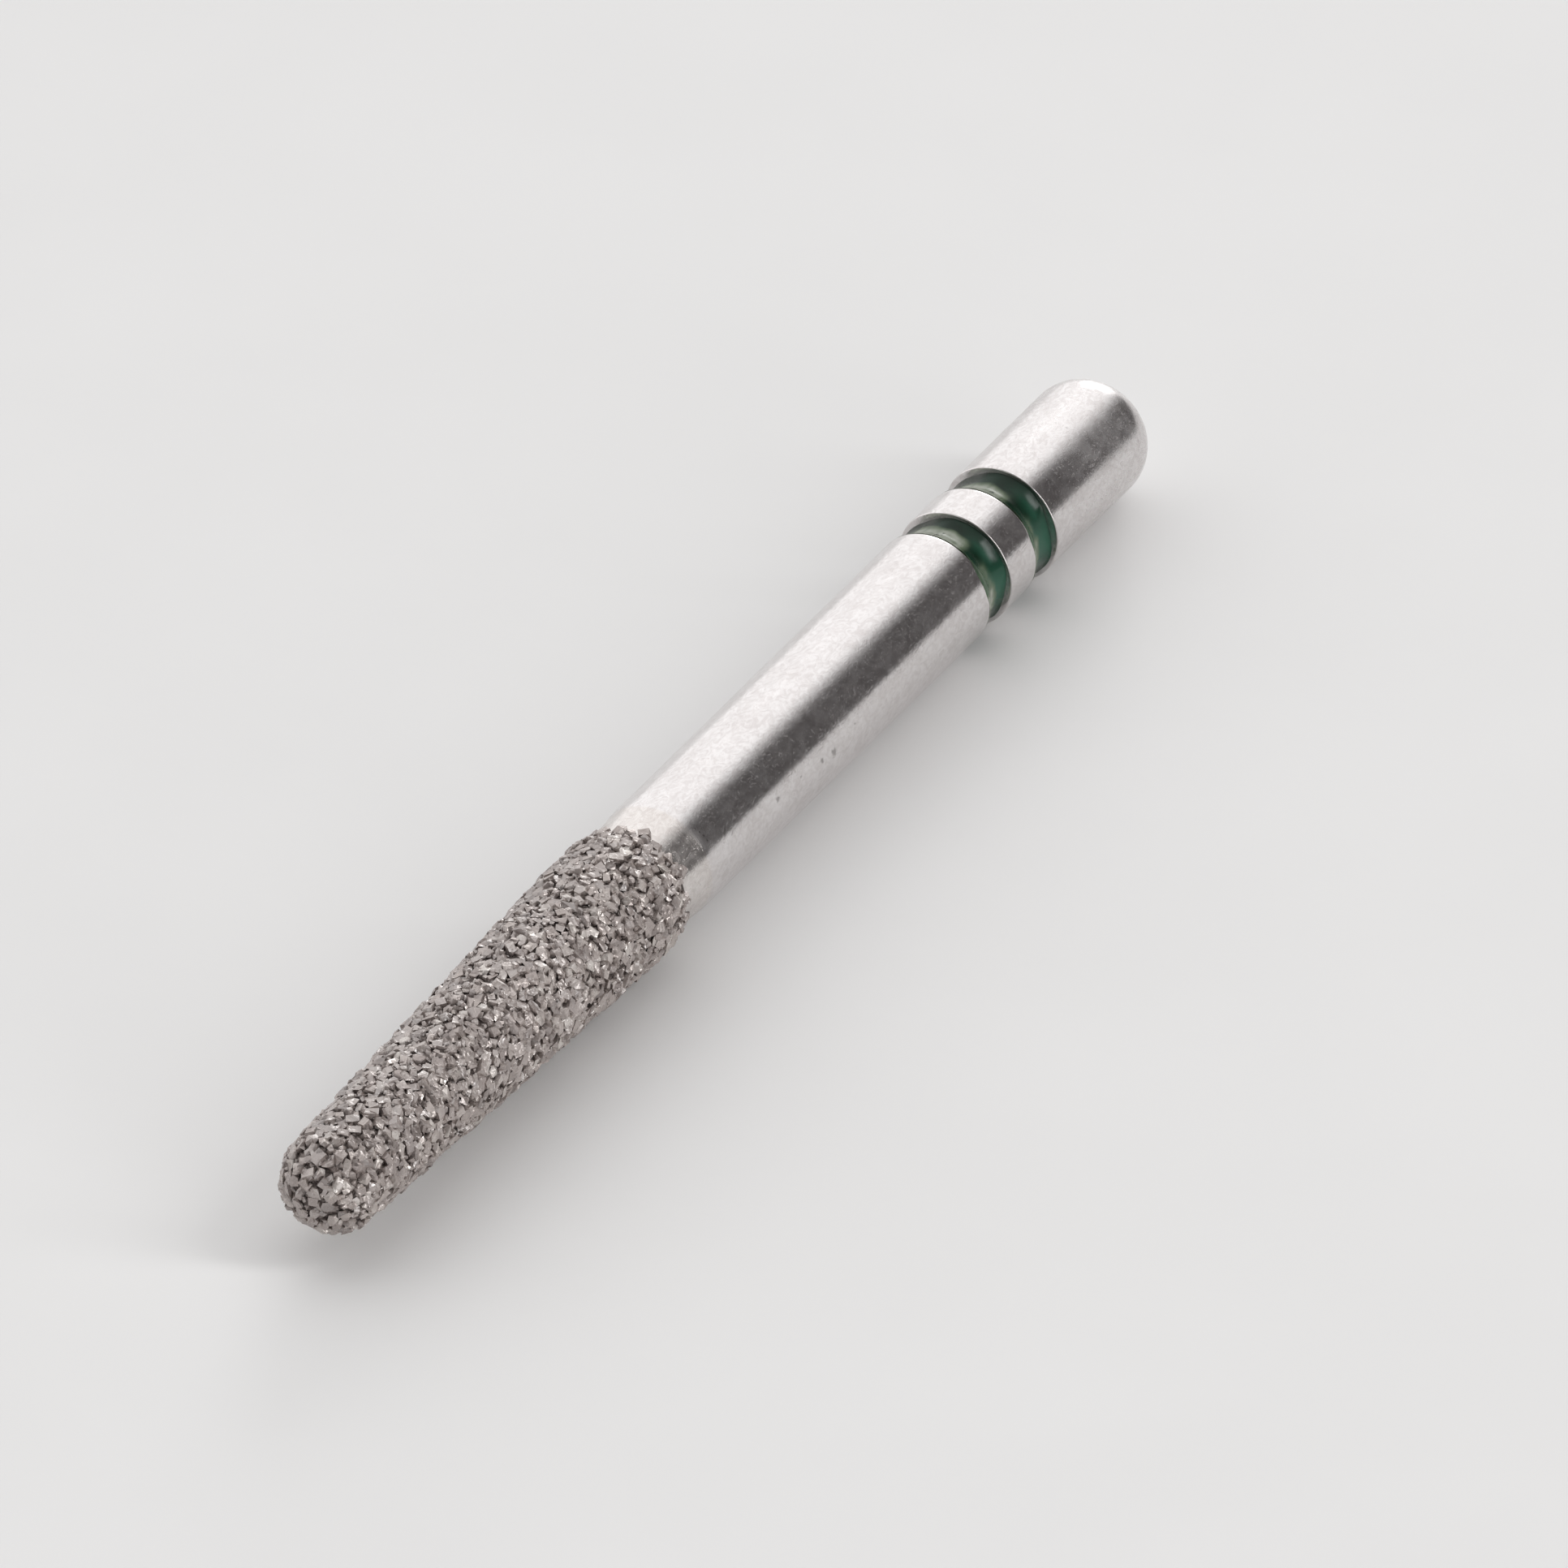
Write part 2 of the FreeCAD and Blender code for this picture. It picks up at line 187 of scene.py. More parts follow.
def marksOf(tree, marks, radius):
    place = addNode(tree, "ShaderNodeTexCoord").outputs["Object"]
    ragged = cloudOf(tree, **markShape["ragged"])
    total = 0.0
    for along, degrees, size in marks:
        turn = math.radians(degrees)
        centre = (along * mm, radius * math.cos(turn) * mm, radius * math.sin(turn) * mm)
        apart = maths(tree, "MULTIPLY", vectorMaths(tree, "DISTANCE", place, centre, "Value"), 1 / mm)
        reach = maths(tree, "ADD", apart, maths(tree, "MULTIPLY", ragged, size))
        mark = remap(tree, reach, size * markShape["clearShare"], size * markShape["solidShare"])
        total = maths(tree, "MAXIMUM", mark, total)
    return total


def attribute(tree, name):
    return addNode(tree, "ShaderNodeAttribute", attribute_name=name).outputs["Fac"]


def bump(tree, height, depth, normal=None):
    inputs = {"Height": height, "Strength": 1.0, "Distance": depth * mm}
    if normal is not None:
        inputs["Normal"] = normal
    return addNode(tree, "ShaderNodeBump", inputs).outputs["Normal"]


# Polished steel: fine lines round it, stains and scratches, a tint and duller polish on the neck, and painted
# shade on the rear rims of the grooves
steelLook = {
    "colour": (0.757, 0.734, 0.730),
    "stain": (0.54, 0.50, 0.49),
    "stainShares": {"clouds": 0.15, "mottle": 0.50, "scratches": 0.12},
    "speck": (0.10, 0.085, 0.08),
    "speckShare": 0.55,
    # Colour of the painted shade on the rear rims of the grooves
    "rimShade": (0.17, 0.16, 0.15),
    "rimShadeShare": 0.5,
    "neckTint": (0.985, 0.97, 0.945),
    "neckStep": 0.62,  # from the start of the tint to the head
    "neckFade": 0.06,
    "neckRoughness": 0.03,
    "neckLines": 1.6,
    "roughness": (0.15, 0.27),
    "swirlWear": 0.5,  # how dull the swirls are beside the scratches
    "buttRoughness": 0.07,
    "buttFade": (2.6, 1.4),  # where the duller polish of the butt end starts and is full
    "swirlDepth": 0.0004,
    "scratchDepth": 0.0003,
    "lineDepth": 0.00025,
    "patterns": {
        "clouds": {"perMillimetre": (1.6, 2.6, 2.6), "low": 0.42, "high": 0.74, "detail": 3.0},
        "mottle": {"perMillimetre": (7.0, 10.0, 10.0), "low": 0.28, "high": 0.72, "swirl": 1.6},
        "scratches": {"perMillimetre": (9.0, 14.0, 14.0), "low": 0.50, "high": 0.72, "swirl": 2.5},
        "swirls": {"perMillimetre": (3.2, 4.6, 4.6), "low": 0.30, "high": 0.70, "swirl": 1.2},
        "lines": {"perMillimetre": (30.0, 0.9, 0.9), "low": 0.25, "high": 0.75, "detail": 1.0},
    },
    # Small dents, scuffs and a scratched line by the neck: place along the bur, turn, size
    "marks": [
        (8.25, 9.0, 0.086), (8.52, 12.0, 0.054), (9.03, 16.0, 0.034), (9.59, 16.0, 0.056),
        (7.70, 16.0, 0.026), (11.12, 36.0, 0.020), (11.13, 41.0, 0.023), (11.15, 46.0, 0.022),
        (11.17, 51.0, 0.018), (1.46, 74.0, 0.030),
    ],
}


def steelColour(tree, look, patterns, neck):
    stains = 0.0
    for name, share in look["stainShares"].items():
        stains = maths(tree, "ADD", maths(tree, "MULTIPLY", patterns[name], share), stains)
    colour = mixColour(tree, stains, (*look["colour"], 1), (*look["stain"], 1))
    colour = mixColour(tree, neck, colour, (*look["neckTint"], 1), "MULTIPLY")
    specks = maths(tree, "MULTIPLY", marksOf(tree, look["marks"], shankRadius), look["speckShare"])
    colour = mixColour(tree, specks, colour, (*look["speck"], 1))
    # Painted shade on the rear rims of the grooves, on the upper side of the turn
    rimShade = maths(tree, "MULTIPLY", attribute(tree, "rimShade"), look["rimShadeShare"])
    return mixColour(tree, rimShade, colour, (*look["rimShade"], 1))


def steelRoughness(tree, look, patterns, neck, along):
    swirls = maths(tree, "MULTIPLY", patterns["swirls"], look["swirlWear"])
    wear = maths(tree, "MAXIMUM", swirls, patterns["scratches"])
    worn = remap(tree, wear, 0, 1, *look["roughness"], "LINEAR")
    butt = remap(tree, along, *look["buttFade"], 0.0, look["buttRoughness"])
    rougher = maths(tree, "ADD", maths(tree, "MULTIPLY", neck, look["neckRoughness"]), butt)
    return maths(tree, "ADD", worn, rougher)


def steelNormal(tree, look, patterns, neck):
    onNeck = maths(tree, "ADD", maths(tree, "MULTIPLY", neck, look["neckLines"]), 1.0)
    normal = bump(tree, maths(tree, "MULTIPLY", patterns["lines"], onNeck), look["lineDepth"])
    normal = bump(tree, patterns["swirls"], look["swirlDepth"], normal)
    return bump(tree, patterns["scratches"], look["scratchDepth"], normal)


def makeSteel(look):
    material, tree, shader = newMaterial("polishedSteel", Metallic=1.0)
    patterns = cloudsOf(tree, look["patterns"])
    place = addNode(tree, "ShaderNodeTexCoord").outputs["Object"]
    along = maths(tree, "MULTIPLY", addNode(tree, "ShaderNodeSeparateXYZ", {0: place}).outputs["X"], 1 / mm)
    neckFrom = headStart - look["neckStep"]
    neck = remap(tree, along, neckFrom, neckFrom + look["neckFade"])
    tree.links.new(steelColour(tree, look, patterns, neck), shader.inputs["Base Color"])
    tree.links.new(steelRoughness(tree, look, patterns, neck, along), shader.inputs["Roughness"])
    tree.links.new(steelNormal(tree, look, patterns, neck), shader.inputs["Normal"])
    return material


# Green lacquer: a dark green in painted shade, with painted light and a painted highlight streak where the
# lamps fall on it, thin and pale by the front rim, which is partly a painted reflection
lacquerLook = {
    "ior": 1.29,
    # The lacquer's green in painted shade, and below it in painted light
    "shadedGreen": (0.004, 0.016, 0.008),
    "lit": (0.021, 0.083, 0.052),
    "litMottle": 0.16,
    # The olive and pale tones are thin lacquer over the steel and, on the face, a painted reflection as well
    "olive": (0.105, 0.138, 0.088),
    "oliveRange": (0.0, 0.5),
    "thinAndSheen": (0.305, 0.325, 0.275),
    "thinAndSheenRange": (0.35, 1.0),
    "roughness": (0.17, 0.25),
    "rippleDepth": 0.0005,
    "speckShare": 0.85,
    "speckDepth": 0.070,
    "patterns": {
        "clouds": {"perMillimetre": (4.0, 4.0, 4.0), "low": 0.35, "high": 0.70, "detail": 3.0},
        "ripple": {"perMillimetre": (4.0, 3.0, 3.0), "low": 0.2, "high": 0.8, "detail": 1.0},
    },
    # Bubbles and specks, given as the marks in the steel are. The first pale one is a painted glint.
    "darkSpecks": [(4.24, 94.0, 0.075), (4.17, 90.0, 0.060), (3.08, 84.0, 0.055), (4.06, -150.0, 0.050)],
    "paleSpecksAndGlint": [(4.20, 65.0, 0.050), (3.12, 112.0, 0.040), (3.02, -70.0, 0.036)],
}


def makeLacquer(look):
    material, tree, shader = newMaterial("greenLacquer", IOR=look["ior"])
    patterns = cloudsOf(tree, look["patterns"])
    mottle = maths(tree, "MULTIPLY", patterns["clouds"], look["litMottle"])
    lit = maths(tree, "ADD", attribute(tree, "lit"), mottle)
    colour = mixColour(tree, lit, (*look["shadedGreen"], 1), (*look["lit"], 1))
    thinnessAndSheen = attribute(tree, "thinnessAndSheen")
    colour = mixColour(tree, remap(tree, thinnessAndSheen, *look["oliveRange"]), colour, (*look["olive"], 1))
    colour = mixColour(tree, remap(tree, thinnessAndSheen, *look["thinAndSheenRange"]), colour, (*look["thinAndSheen"], 1))
    for marks, tone in (("darkSpecks", "shadedGreen"), ("paleSpecksAndGlint", "thinAndSheen")):
        specks = marksOf(tree, look[marks], shankRadius - look["speckDepth"])
        share = maths(tree, "MULTIPLY", specks, look["speckShare"])
        colour = mixColour(tree, share, colour, (*look[tone], 1))
    tree.links.new(colour, shader.inputs["Base Color"])
    roughness = remap(tree, patterns["clouds"], 0, 1, *look["roughness"], "LINEAR")
    tree.links.new(roughness, shader.inputs["Roughness"])
    tree.links.new(bump(tree, patterns["ripple"], look["rippleDepth"]), shader.inputs["Normal"])
    return material


# Nickel plating: matt, dark and brownish in the gaps between the grains
nickelLook = {
    "dark": (0.075, 0.060, 0.056),
    "light": (0.26, 0.225, 0.21),
    "roughness": (0.38, 0.62),
    "pitDepth": 0.010,
    "patterns": {
        "clouds": {"perMillimetre": (9.0, 9.0, 9.0), "low": 0.35, "high": 0.68, "detail": 3.0},
        "pits": {"perMillimetre": (24.0, 24.0, 24.0), "low": 0.30, "high": 0.70},
    },
}


def makeNickel(look):
    material, tree, shader = newMaterial("nickelPlating", Metallic=1.0)
    patterns = cloudsOf(tree, look["patterns"])
    colour = mixColour(tree, patterns["clouds"], (*look["dark"], 1), (*look["light"], 1))
    tree.links.new(colour, shader.inputs["Base Color"])
    roughness = remap(tree, patterns["pits"], 0, 1, *look["roughness"], "LINEAR")
    tree.links.new(roughness, shader.inputs["Roughness"])
    tree.links.new(bump(tree, patterns["pits"], look["pitDepth"]), shader.inputs["Normal"])
    return material


# Diamond grains: grey-brown, each with its own tone and share of plating, with painted shade low down
# between them
diamondLook = {
    "ior": 2.42,
    "tones": [
        (0.00, (0.194, 0.157, 0.145)),
        (0.35, (0.312, 0.261, 0.242)),
        (0.75, (0.404, 0.349, 0.323)),
        (1.00, (0.585, 0.541, 0.505)),
    ],
    "grainShare": 0.66,
    "cloudyShare": 0.34,
    "foot": (0.122, 0.092, 0.082),
    "footHeight": (0.05, 0.55),
    "metallic": (0.05, 0.52),
    "metallicCycles": 7.0,  # sets a grain's plating apart from its tone
    "roughness": (0.22, 0.48),
    "grainDepth": 0.006,
    "patterns": {
        "cloudy": {"perMillimetre": (4.5, 4.5, 4.5), "low": 0.32, "high": 0.68, "detail": 3.0},
        "frost": {"perMillimetre": (15.0, 15.0, 15.0), "low": 0.30, "high": 0.70, "detail": 1.0},
    },
}


def makeDiamond(look):
    material, tree, shader = newMaterial("diamondGrains", IOR=look["ior"])
    patterns = cloudsOf(tree, look["patterns"])
    ownTone = attribute(tree, "grainTone")
    tone = maths(tree, "ADD", maths(tree, "MULTIPLY", ownTone, look["grainShare"]),
                 maths(tree, "MULTIPLY", patterns["cloudy"], look["cloudyShare"]))
    # Painted shade low down on the grains, between them, from the stored height above the nickel
    foot = remap(tree, attribute(tree, "rise"), *look["footHeight"], 1.0, 0.0)
    colour = mixColour(tree, foot, ramp(tree, tone, look["tones"]), (*look["foot"], 1))
    tree.links.new(colour, shader.inputs["Base Color"])
    plated = maths(tree, "FRACT", maths(tree, "MULTIPLY", ownTone, look["metallicCycles"]))
    tree.links.new(remap(tree, plated, 0, 1, *look["metallic"], "LINEAR"), shader.inputs["Metallic"])
    roughness = remap(tree, patterns["frost"], 0, 1, *look["roughness"], "LINEAR")
    tree.links.new(roughness, shader.inputs["Roughness"])
    tree.links.new(bump(tree, patterns["frost"], look["grainDepth"]), shader.inputs["Normal"])
    return material


# Mesh helpers

onAxis = 1e-6  # a point nearer to the axis than this is a pole


def arcPoints(centreX, centreR, radius, fromDegrees, toDegrees, steps):
    points = []
    for step in range(steps + 1):
        turn = math.radians(fromDegrees + (toDegrees - fromDegrees) * step / steps)
        points.append((centreX + radius * math.cos(turn), centreR + radius * math.sin(turn)))
    return points


def straight(first, last, steps):
    return [
        (first[0] + (last[0] - first[0]) * step / steps, first[1] + (last[1] - first[1]) * step / steps)
        for step in range(steps + 1)
    ]


# Turns sections into a closed mesh: sectionAt(turn) gives one section's (x, radius) points in millimetres.
# A section is a closed loop, or runs from pole to pole when its ends lie on the axis.
def turnMesh(name, sectionAt, segments, loop=False):
    model = bmesh.new()
    rows = []
    poles = {}
    for segment in range(segments):
        turn = 2 * math.pi * segment / segments
        row = []
        for index, (x, radius) in enumerate(sectionAt(turn)):
            if radius < onAxis:
                if index not in poles:
                    poles[index] = model.verts.new((x * mm, 0, 0))
                row.append(poles[index])
            else:
                place = (x * mm, radius * math.cos(turn) * mm, radius * math.sin(turn) * mm)
                row.append(model.verts.new(place))
        rows.append(row)
    count = len(rows[0])
    for segment in range(segments):
        here, there = rows[segment], rows[(segment + 1) % segments]
        for index in range(count if loop else count - 1):
            after = (index + 1) % count
            corners = [here[index], there[index], there[after], here[after]]
            corners = [corner for spot, corner in enumerate(corners) if corner not in corners[:spot]]
            if len(corners) > 2:
                model.faces.new(corners)
    bmesh.ops.recalc_face_normals(model, faces=model.faces)
    mesh = bpy.data.meshes.new(name)
    model.to_mesh(mesh)
    model.free()
    return mesh


# Adds a finished mesh that stands for a node. Where sharpDegrees is given it is smooth up to that angle.
def addPiece(name, mesh, material, node, sharpDegrees=None):
    piece = bpy.data.objects.new(name, mesh)
    scene.collection.objects.link(piece)
    mesh.materials.clear()
    mesh.materials.append(material)
    if sharpDegrees is not None:
        mesh.shade_smooth()
        mesh.set_sharp_from_angle(angle=math.radians(sharpDegrees))
    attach(piece, "root")
    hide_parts(node)
    return piece


def addFloats(mesh, name, values):
    mesh.attributes.new(name, "FLOAT", "POINT").data.foreach_set("value", values)


def turnOf(vertex):
    return math.atan2(vertex.co.z, vertex.co.y)


# 1 at a place on the way round, down to 0 at its spread on both sides
def nearTurn(turn, place):
    apart = abs((math.degrees(turn) - place["at"] + 180) % 360 - 180)
    share = max(0.0, 1 - apart / place["spread"])
    return share * share * (3 - 2 * share)


# The same with a broad flat top
def aroundTurn(turn, place, steepness=3.0):
    return min(1.0, steepness * nearTurn(turn, place))


# Outline of the head, which the core, the nickel and the grains share
headSizes = {
    "neckLength": 0.65,
    "neckRadius": 0.75,
    "runOut": 0.40,
    "tipRadius": 0.69,
    "nickelThickness": 0.073,
}
neckStart = headStart - headSizes["neckLength"]
fullStart = headStart + headSizes["runOut"]
ballCentre = gritTip - headSizes["tipRadius"]
coreRadius = bondRadius - headSizes["nickelThickness"]


# A cone from its full radius to where it runs into the ball of the tip, and the ball down to the axis
def headOutline(startRadius, ballRadius, coneSteps, ballSteps):
    reach = math.hypot(ballCentre - fullStart, startRadius)
    halfAngle = math.atan2(startRadius, ballCentre - fullStart) - math.asin(ballRadius / reach)
    coneTail = (ballCentre + ballRadius * math.sin(halfAngle), ballRadius * math.cos(halfAngle))
    cone = straight((fullStart, startRadius), coneTail, coneSteps)
    ball = arcPoints(ballCentre, 0, ballRadius, 90 - math.degrees(halfAngle), 0, ballSteps)
    return cone + ball[1:-1] + [(ballCentre + ballRadius, 0)]


# Steel blank: butt end, shank with two ring grooves, neck, and the core inside the head. Painted shade lies
# on the rear rims of the grooves. A holding loop keeps the smooth shading of a rounding off the shank beside
# it.
blankSizes = {
    "buttRounding": 0.62,
    "rearRimRounding": 0.014,
    "frontRimRounding": 0.060,
    "grooveDepth": 0.16,
    "holdingLoop": 0.02,
    "neckEase": 0.03,  # half the length of the eased edge between shank and neck
    "neckEaseDepth": 0.003,
    "rimShadePlace": {"at": 36, "spread": 60},
    "rimShadeWidth": 0.03,  # how far from the groove's wall it reaches
    "rimShadeDepth": 0.04,  # how far down the wall it ends
    "rimShadeFade": 0.002,
    "tolerance": 0.001,
    "steps": {"butt": 28, "rearRim": 10, "frontRim": 8, "neck": 6, "cone": 4, "ball": 12},
    "segments": 288,
    "sharpDegrees": 40,
}


# One groove from rear to front, with the rounding of both rims
def grooveSection(low, high, sizes):
    rearRim, frontRim = sizes["rearRimRounding"], sizes["frontRimRounding"]
    hold, steps = sizes["holdingLoop"], sizes["steps"]
    floorRadius = shankRadius - sizes["grooveDepth"]
    points = [(low - rearRim - hold, shankRadius)]
    points += arcPoints(low - rearRim, shankRadius - rearRim, rearRim, 90, 0, steps["rearRim"])
    points += [(low, shankRadius - sizes["rimShadeDepth"]), (low, floorRadius), (high, floorRadius)]
    points += arcPoints(high + frontRim, shankRadius - frontRim, frontRim, 180, 90, steps["frontRim"])
    points.append((high + frontRim + hold, shankRadius))
    return points


def blankSection(sizes):
    rounding, hold, steps = sizes["buttRounding"], sizes["holdingLoop"], sizes["steps"]
    ease, easeDepth = sizes["neckEase"], sizes["neckEaseDepth"]
    points = [(0, 0), (0, (shankRadius - rounding) / 2)]
    points += arcPoints(rounding, shankRadius - rounding, rounding, 180, 90, steps["butt"])
    points.append((rounding + hold, shankRadius))
    for low, high, _ in ringSizes.values():
        points += grooveSection(low, high, sizes)
    points += [(neckStart - ease - hold, shankRadius), (neckStart - ease, shankRadius)]
    points.append((neckStart + ease, shankRadius - easeDepth))
    neckTop = (neckStart + 2 * ease, shankRadius - 2 * easeDepth)
    points += straight(neckTop, (headStart, headSizes["neckRadius"]), steps["neck"])
    return points + headOutline(coreRadius, coreTip - ballCentre, steps["cone"], steps["ball"])


# Share of painted shade at a point of the blank: on a groove's rear rim and down its wall, on the upper side
def rimShadeAt(vertex, sizes):
    fromGroove = min(abs(vertex.co.x / mm - low) for low, _, _ in ringSizes.values())
    depth = shankRadius - vertex.co.yz.length / mm
    if fromGroove >= sizes["rimShadeWidth"] or depth >= sizes["rimShadeDepth"] - sizes["tolerance"]:
        return 0.0
    return aroundTurn(turnOf(vertex), sizes["rimShadePlace"]) * min(1.0, depth / sizes["rimShadeFade"])


def addBlank(material):
    sizes = blankSizes
    section = blankSection(sizes)
    mesh = turnMesh("turnedBlank", lambda turn: section, sizes["segments"])
    addFloats(mesh, "rimShade", [rimShadeAt(vertex, sizes) for vertex in mesh.vertices])
    return addPiece("turnedBlank", mesh, material, "steel_blank", sizes["sharpDegrees"])


# Lacquer rings: each a hollow-faced fill between the groove's walls, a little uneven as if dabbed in, with a
# film that laps over the front rim
lacquerSizes = {
    "frontRecess": 0.012,  # how far below the shank the lacquer stands at the two walls
    "rearRecess": 0.050,
    "bottomDepth": 0.102,
    "bottomAt": 0.47,  # share of the way from the front wall to the rear one
    "lowBottomShare": 0.3,
    "waver": 0.007,
    "waverPerTurn": 5.0,
    "unevenness": 0.002,
    "unevenAcross": 2,
    "unevenPerTurn": 4,
    "wallGap": 0.0015,
    "film": 0.005,
    "filmEdge": 0.15,  # share of the film's thickness at its very edge
    "filmRise": 4,
    "filmEase": 0.02,
    "lapWaver": 0.4,
    "lapPerTurn": 3.0,
    "filmSteps": 6,
    "across": 26,
    "segments": 288,
    "sharpDegrees": 50,
    # Each place is a turn with how far round it goes. Lacquer laps over the front rim, stands low at the rear
    # wall, or is thin and pale by the front rim from a share of the way across, partly a painted reflection.
    "rings": {
        "rear_colour_ring": {
            "lap": {"at": 20, "spread": 30, "length": 0.05},
            "low": [{"at": 14, "spread": 40, "depth": 0.065}, {"at": 124, "spread": 44, "depth": 0.050}],
            "thinAndSheen": [
                {"at": 120, "spread": 42, "from": 0.34, "share": 1.0},
                {"at": 98, "spread": 38, "from": 0.38, "share": 0.9},
                {"at": -10, "spread": 36, "from": 0.44, "share": 0.8},
                {"at": 10, "spread": 42, "from": 0.46, "share": 0.30},
            ],
            "seed": 3.1,
        },
        "front_colour_ring": {
            "lap": {"at": 26, "spread": 34, "length": 0.11},
            "low": [{"at": -10, "spread": 34, "depth": 0.040}, {"at": 122, "spread": 44, "depth": 0.050}],
            "thinAndSheen": [
                {"at": 120, "spread": 42, "from": 0.25, "share": 1.0},
                {"at": 92, "spread": 38, "from": 0.29, "share": 0.95},
                {"at": -14, "spread": 36, "from": 0.34, "share": 0.9},
                {"at": 10, "spread": 42, "from": 0.40, "share": 0.34},
            ],
            "seed": 7.7,
        },
    },
    # What both rings share: where painted light falls on the lacquer, with a painted highlight streak across
    # the middle, and how its thin places, partly painted reflection, fade out
    "paint": {
        "bright": {"at": 5, "spread": 44},
        # A painted highlight streak round the face, part of the way across
        "middle": {"at": 44, "spread": 34, "across": 0.32, "width": 0.26, "share": 0.7},
        "behind": {"at": -120, "spread": 130, "share": 0.5, "perTurn": 2.0},
        "filmThinness": 0.2,
        "thinAndSheenFade": 0.22,
        "raggedness": 0.10,
        "raggedDetail": (3, 4),
        "evenness": 0.82,
        "patchiness": 0.35,
        "patchDetail": (5, 9),
    },
}


# Unevenness round a ring, and over its face. A whole number added to the seed gives another pattern.
def ringWaver(turn, seed, perTurn):
    return noise.noise(Vector((math.cos(turn) * perTurn, math.sin(turn) * perTurn, seed)))


def ringNoise(turn, toFront, detail, seed):
    return noise.noise(Vector((toFront * detail[0], turn * detail[1], seed)))


def frontRimHeight(beyondWall):
    rim = blankSizes["frontRimRounding"]
    across = rim - min(beyondWall, rim)
    return shankRadius - rim + math.sqrt(rim * rim - across * across)


# The film over the front rim: out along the steel, and back over its top
def filmSection(turn, front, frontEdge, places, sizes):
    gap, steps = sizes["wallGap"], sizes["filmSteps"]
    waver = 1 + sizes["lapWaver"] * ringWaver(turn, places["seed"] + 5, sizes["lapPerTurn"])
    length = places["lap"]["length"] * nearTurn(turn, places["lap"]) * waver + 2 * gap
    under, over = [], []
    for step in range(steps + 1):
        beyond = length * step / steps
        height = frontRimHeight(beyond) + gap / 2
        rise = sizes["filmEdge"] + sizes["filmRise"] * (length - beyond) / (length + sizes["filmEase"])
        under.append((front + beyond, height))
        over.append((front + beyond, max(frontEdge, height + sizes["film"] * min(1.0, rise))))
    return under + over[::-1]


# The floor of the groove, the film over the front rim, and the hollow face back to the rear wall
def ringSection(turn, grooveLow, grooveHigh, places, sizes):
    gap, seed, perTurn = sizes["wallGap"], places["seed"], sizes["waverPerTurn"]
    rear, front = grooveLow + gap, grooveHigh - gap
    floorRadius = shankRadius - blankSizes["grooveDepth"] + gap
    low = max(place["depth"] * nearTurn(turn, place) for place in places["low"])
    rearEdge = shankRadius - sizes["rearRecess"] - low + sizes["waver"] * ringWaver(turn, seed, perTurn)
    frontEdge = shankRadius - sizes["frontRecess"] + sizes["waver"] * ringWaver(turn, seed + 2, perTurn)
    bottom = shankRadius - sizes["bottomDepth"] - low * sizes["lowBottomShare"]
    bottomAt = sizes["bottomAt"]
    points = [(rear, floorRadius), (front, floorRadius)]
    points += filmSection(turn, front, frontEdge, places, sizes)
    start = points[-1][1]
    roundY, roundZ = (sizes["unevenPerTurn"] * length for length in (math.cos(turn), math.sin(turn)))
    for step in range(1, sizes["across"]):
        share = step / sizes["across"]
        edge, reach = (start, bottomAt) if share < bottomAt else (rearEdge, 1 - bottomAt)
        height = bottom + (edge - bottom) * ((share - bottomAt) / reach) ** 2
        rough = noise.noise(Vector((share * sizes["unevenAcross"] + seed, roundY, roundZ)))
        points.append((front + (rear - front) * share, height + sizes["unevenness"] * rough))
    points.append((rear, rearEdge))
    return points


# How much painted light the lacquer gets, 0 for painted shade to 1 for fully lit. toFront runs from 0 at the
# rear wall to 1 at the front one.
def litShare(turn, toFront, seed, paint):
    middle, behind = paint["middle"], paint["behind"]
    across = max(0.0, 1 - abs(toFront - middle["across"]) / middle["width"])
    inMiddle = middle["share"] * across * nearTurn(turn, middle)
    wave = max(0.0, ringWaver(turn, seed + 1, behind["perTurn"]))
    farOff = behind["share"] * wave * nearTurn(turn, behind)
    return max(nearTurn(turn, paint["bright"]), inMiddle, farOff)


# How thin and pale the lacquer is, 0 to 1, with ragged and patchy places. The film over the rim is really
# thin;
# the pale places on the face are partly thin lacquer and partly a painted reflection.
def thinAndSheenShare(turn, toFront, places, paint):
    ragged = paint["raggedness"] * ringNoise(turn, toFront, paint["raggedDetail"], places["seed"])
    patches = ringNoise(turn, toFront, paint["patchDetail"], places["seed"] + 4)
    patchy = paint["evenness"] + paint["patchiness"] * patches
    thinAndSheenPeak = paint["filmThinness"] if toFront > 1 else 0.0
    for place in places["thinAndSheen"]:
        edge = max(0.0, min(1.0, (toFront - place["from"] + ragged) / paint["thinAndSheenFade"]))
        thinAndSheenPeak = max(thinAndSheenPeak, place["share"] * aroundTurn(turn, place) * edge * patchy)
    return thinAndSheenPeak


def addRing(name, material):
    low, high, _ = ringSizes[name]
    sizes = lacquerSizes
    places, paint = sizes["rings"][name], sizes["paint"]
    pieceName = name + "_lacquer"

    def sectionAt(turn):
        return ringSection(turn, low, high, places, sizes)

    mesh = turnMesh(pieceName, sectionAt, sizes["segments"], True)
    spots = [(turnOf(vertex), (vertex.co.x / mm - low) / (high - low)) for vertex in mesh.vertices]
    addFloats(mesh, "thinnessAndSheen", [thinAndSheenShare(turn, toFront, places, paint) for turn, toFront in spots])
    addFloats(mesh, "lit", [litShare(turn, toFront, places["seed"], paint) for turn, toFront in spots])
    return addPiece(pieceName, mesh, material, name, sizes["sharpDegrees"])


